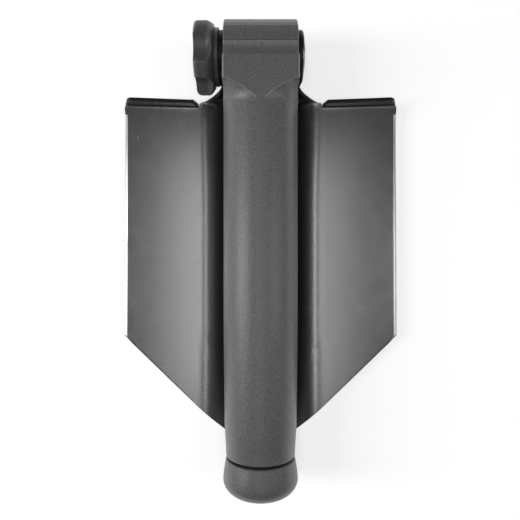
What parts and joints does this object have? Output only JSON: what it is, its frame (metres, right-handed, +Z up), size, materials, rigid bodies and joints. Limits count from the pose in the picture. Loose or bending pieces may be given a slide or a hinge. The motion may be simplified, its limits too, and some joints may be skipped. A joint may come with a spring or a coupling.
{
  "type": "folding camp shovel",
  "caption": "Folding camp shovel: pointed pressed blade, hinged telescopic round handle locked by a lobed hand nut, and a saw stored in the handle.",
  "frame": {"origin": "centre of the folded shovel's box, on the ground under the back of the blade's channel", "axes": "+X across the blade towards the bolt head, +Y along the handle towards the hinge, +Z up from the ground through the folded handle"},
  "size_m": [0.15, 0.2421, 0.045],
  "materials": {
    "coated_steel": "satin black phosphate coat with ground side edges",
    "dark_steel": "blackened, semi-gloss",
    "bright_steel": "turned",
    "nut_plastic": "moulded, satin",
    "brass_insert": "turned",
    "grip_plastic": "fine spark-eroded texture",
    "tube_plastic": "smooth, satin",
    "pommel_plastic": "fine spark-eroded texture",
    "dark_plastic": "moulded",
    "pale_plastic": "natural acetal",
    "seal_rubber": "matt",
    "saw_steel": "ground"
  },
  "bodies": {
    "blade": {"spade_blade": "coated_steel", "pivot_bolt": "dark_steel", "retaining_clip": "bright_steel", "disc_spring": "bright_steel"},
    "nut_carrier": {"thrust_washer": "bright_steel"},
    "nut": {"hand_nut": "nut_plastic", "nut_insert": "brass_insert"},
    "handle": {"handle_body": "grip_plastic", "hub_sleeve": "bright_steel", "friction_washers": "dark_plastic", "mouth_bush": "dark_plastic", "wiper_seal": "seal_rubber"},
    "collar": {"lock_collar": "pale_plastic"},
    "extension": {"inner_tube": "tube_plastic", "lock_cam": "dark_plastic", "cam_pin": "bright_steel"},
    "pommel_ring": {"pommel_spring": "bright_steel", "pommel_seal": "seal_rubber"},
    "saw": {"pommel_cap": "pommel_plastic", "pommel_screw": "bright_steel", "saw_holder": "dark_plastic", "saw_blade": "saw_steel", "saw_rivets": "bright_steel"}
  },
  "joints": [
    {"name": "blade_fold", "type": "hinge", "parent": "blade", "child": "handle", "pos_m": [0, 0.1031, 0.026], "axis": [-1, 0, 0], "range_deg": [0, 180]},
    {"name": "nut_travel", "type": "slide", "parent": "blade", "child": "nut_carrier", "axis": [-1, 0, 0], "range_m": [0, 0.0026]},
    {"name": "nut_spin", "type": "hinge", "parent": "nut_carrier", "child": "nut", "pos_m": [0, 0.1031, 0.026], "axis": [-1, 0, 0], "range_deg": [0, 720]},
    {"name": "extend", "type": "slide", "parent": "handle", "child": "collar", "axis": [0, -1, 0], "range_m": [0, 0.14]},
    {"name": "twist_lock", "type": "hinge", "parent": "collar", "child": "extension", "pos_m": [0, 0, 0.026], "axis": [0, -1, 0], "range_deg": [0, 90]},
    {"name": "pommel_pull", "type": "slide", "parent": "extension", "child": "pommel_ring", "axis": [0, -1, 0], "range_m": [0, 0.17]},
    {"name": "pommel_turn", "type": "hinge", "parent": "pommel_ring", "child": "saw", "pos_m": [0, 0, 0.026], "axis": [0, -1, 0], "range_deg": [0, 90]}
  ],
  "couplings": [
    {"joint": "nut_travel", "follows": "nut_spin", "m_per_rad": 0.00019894}
  ]
}
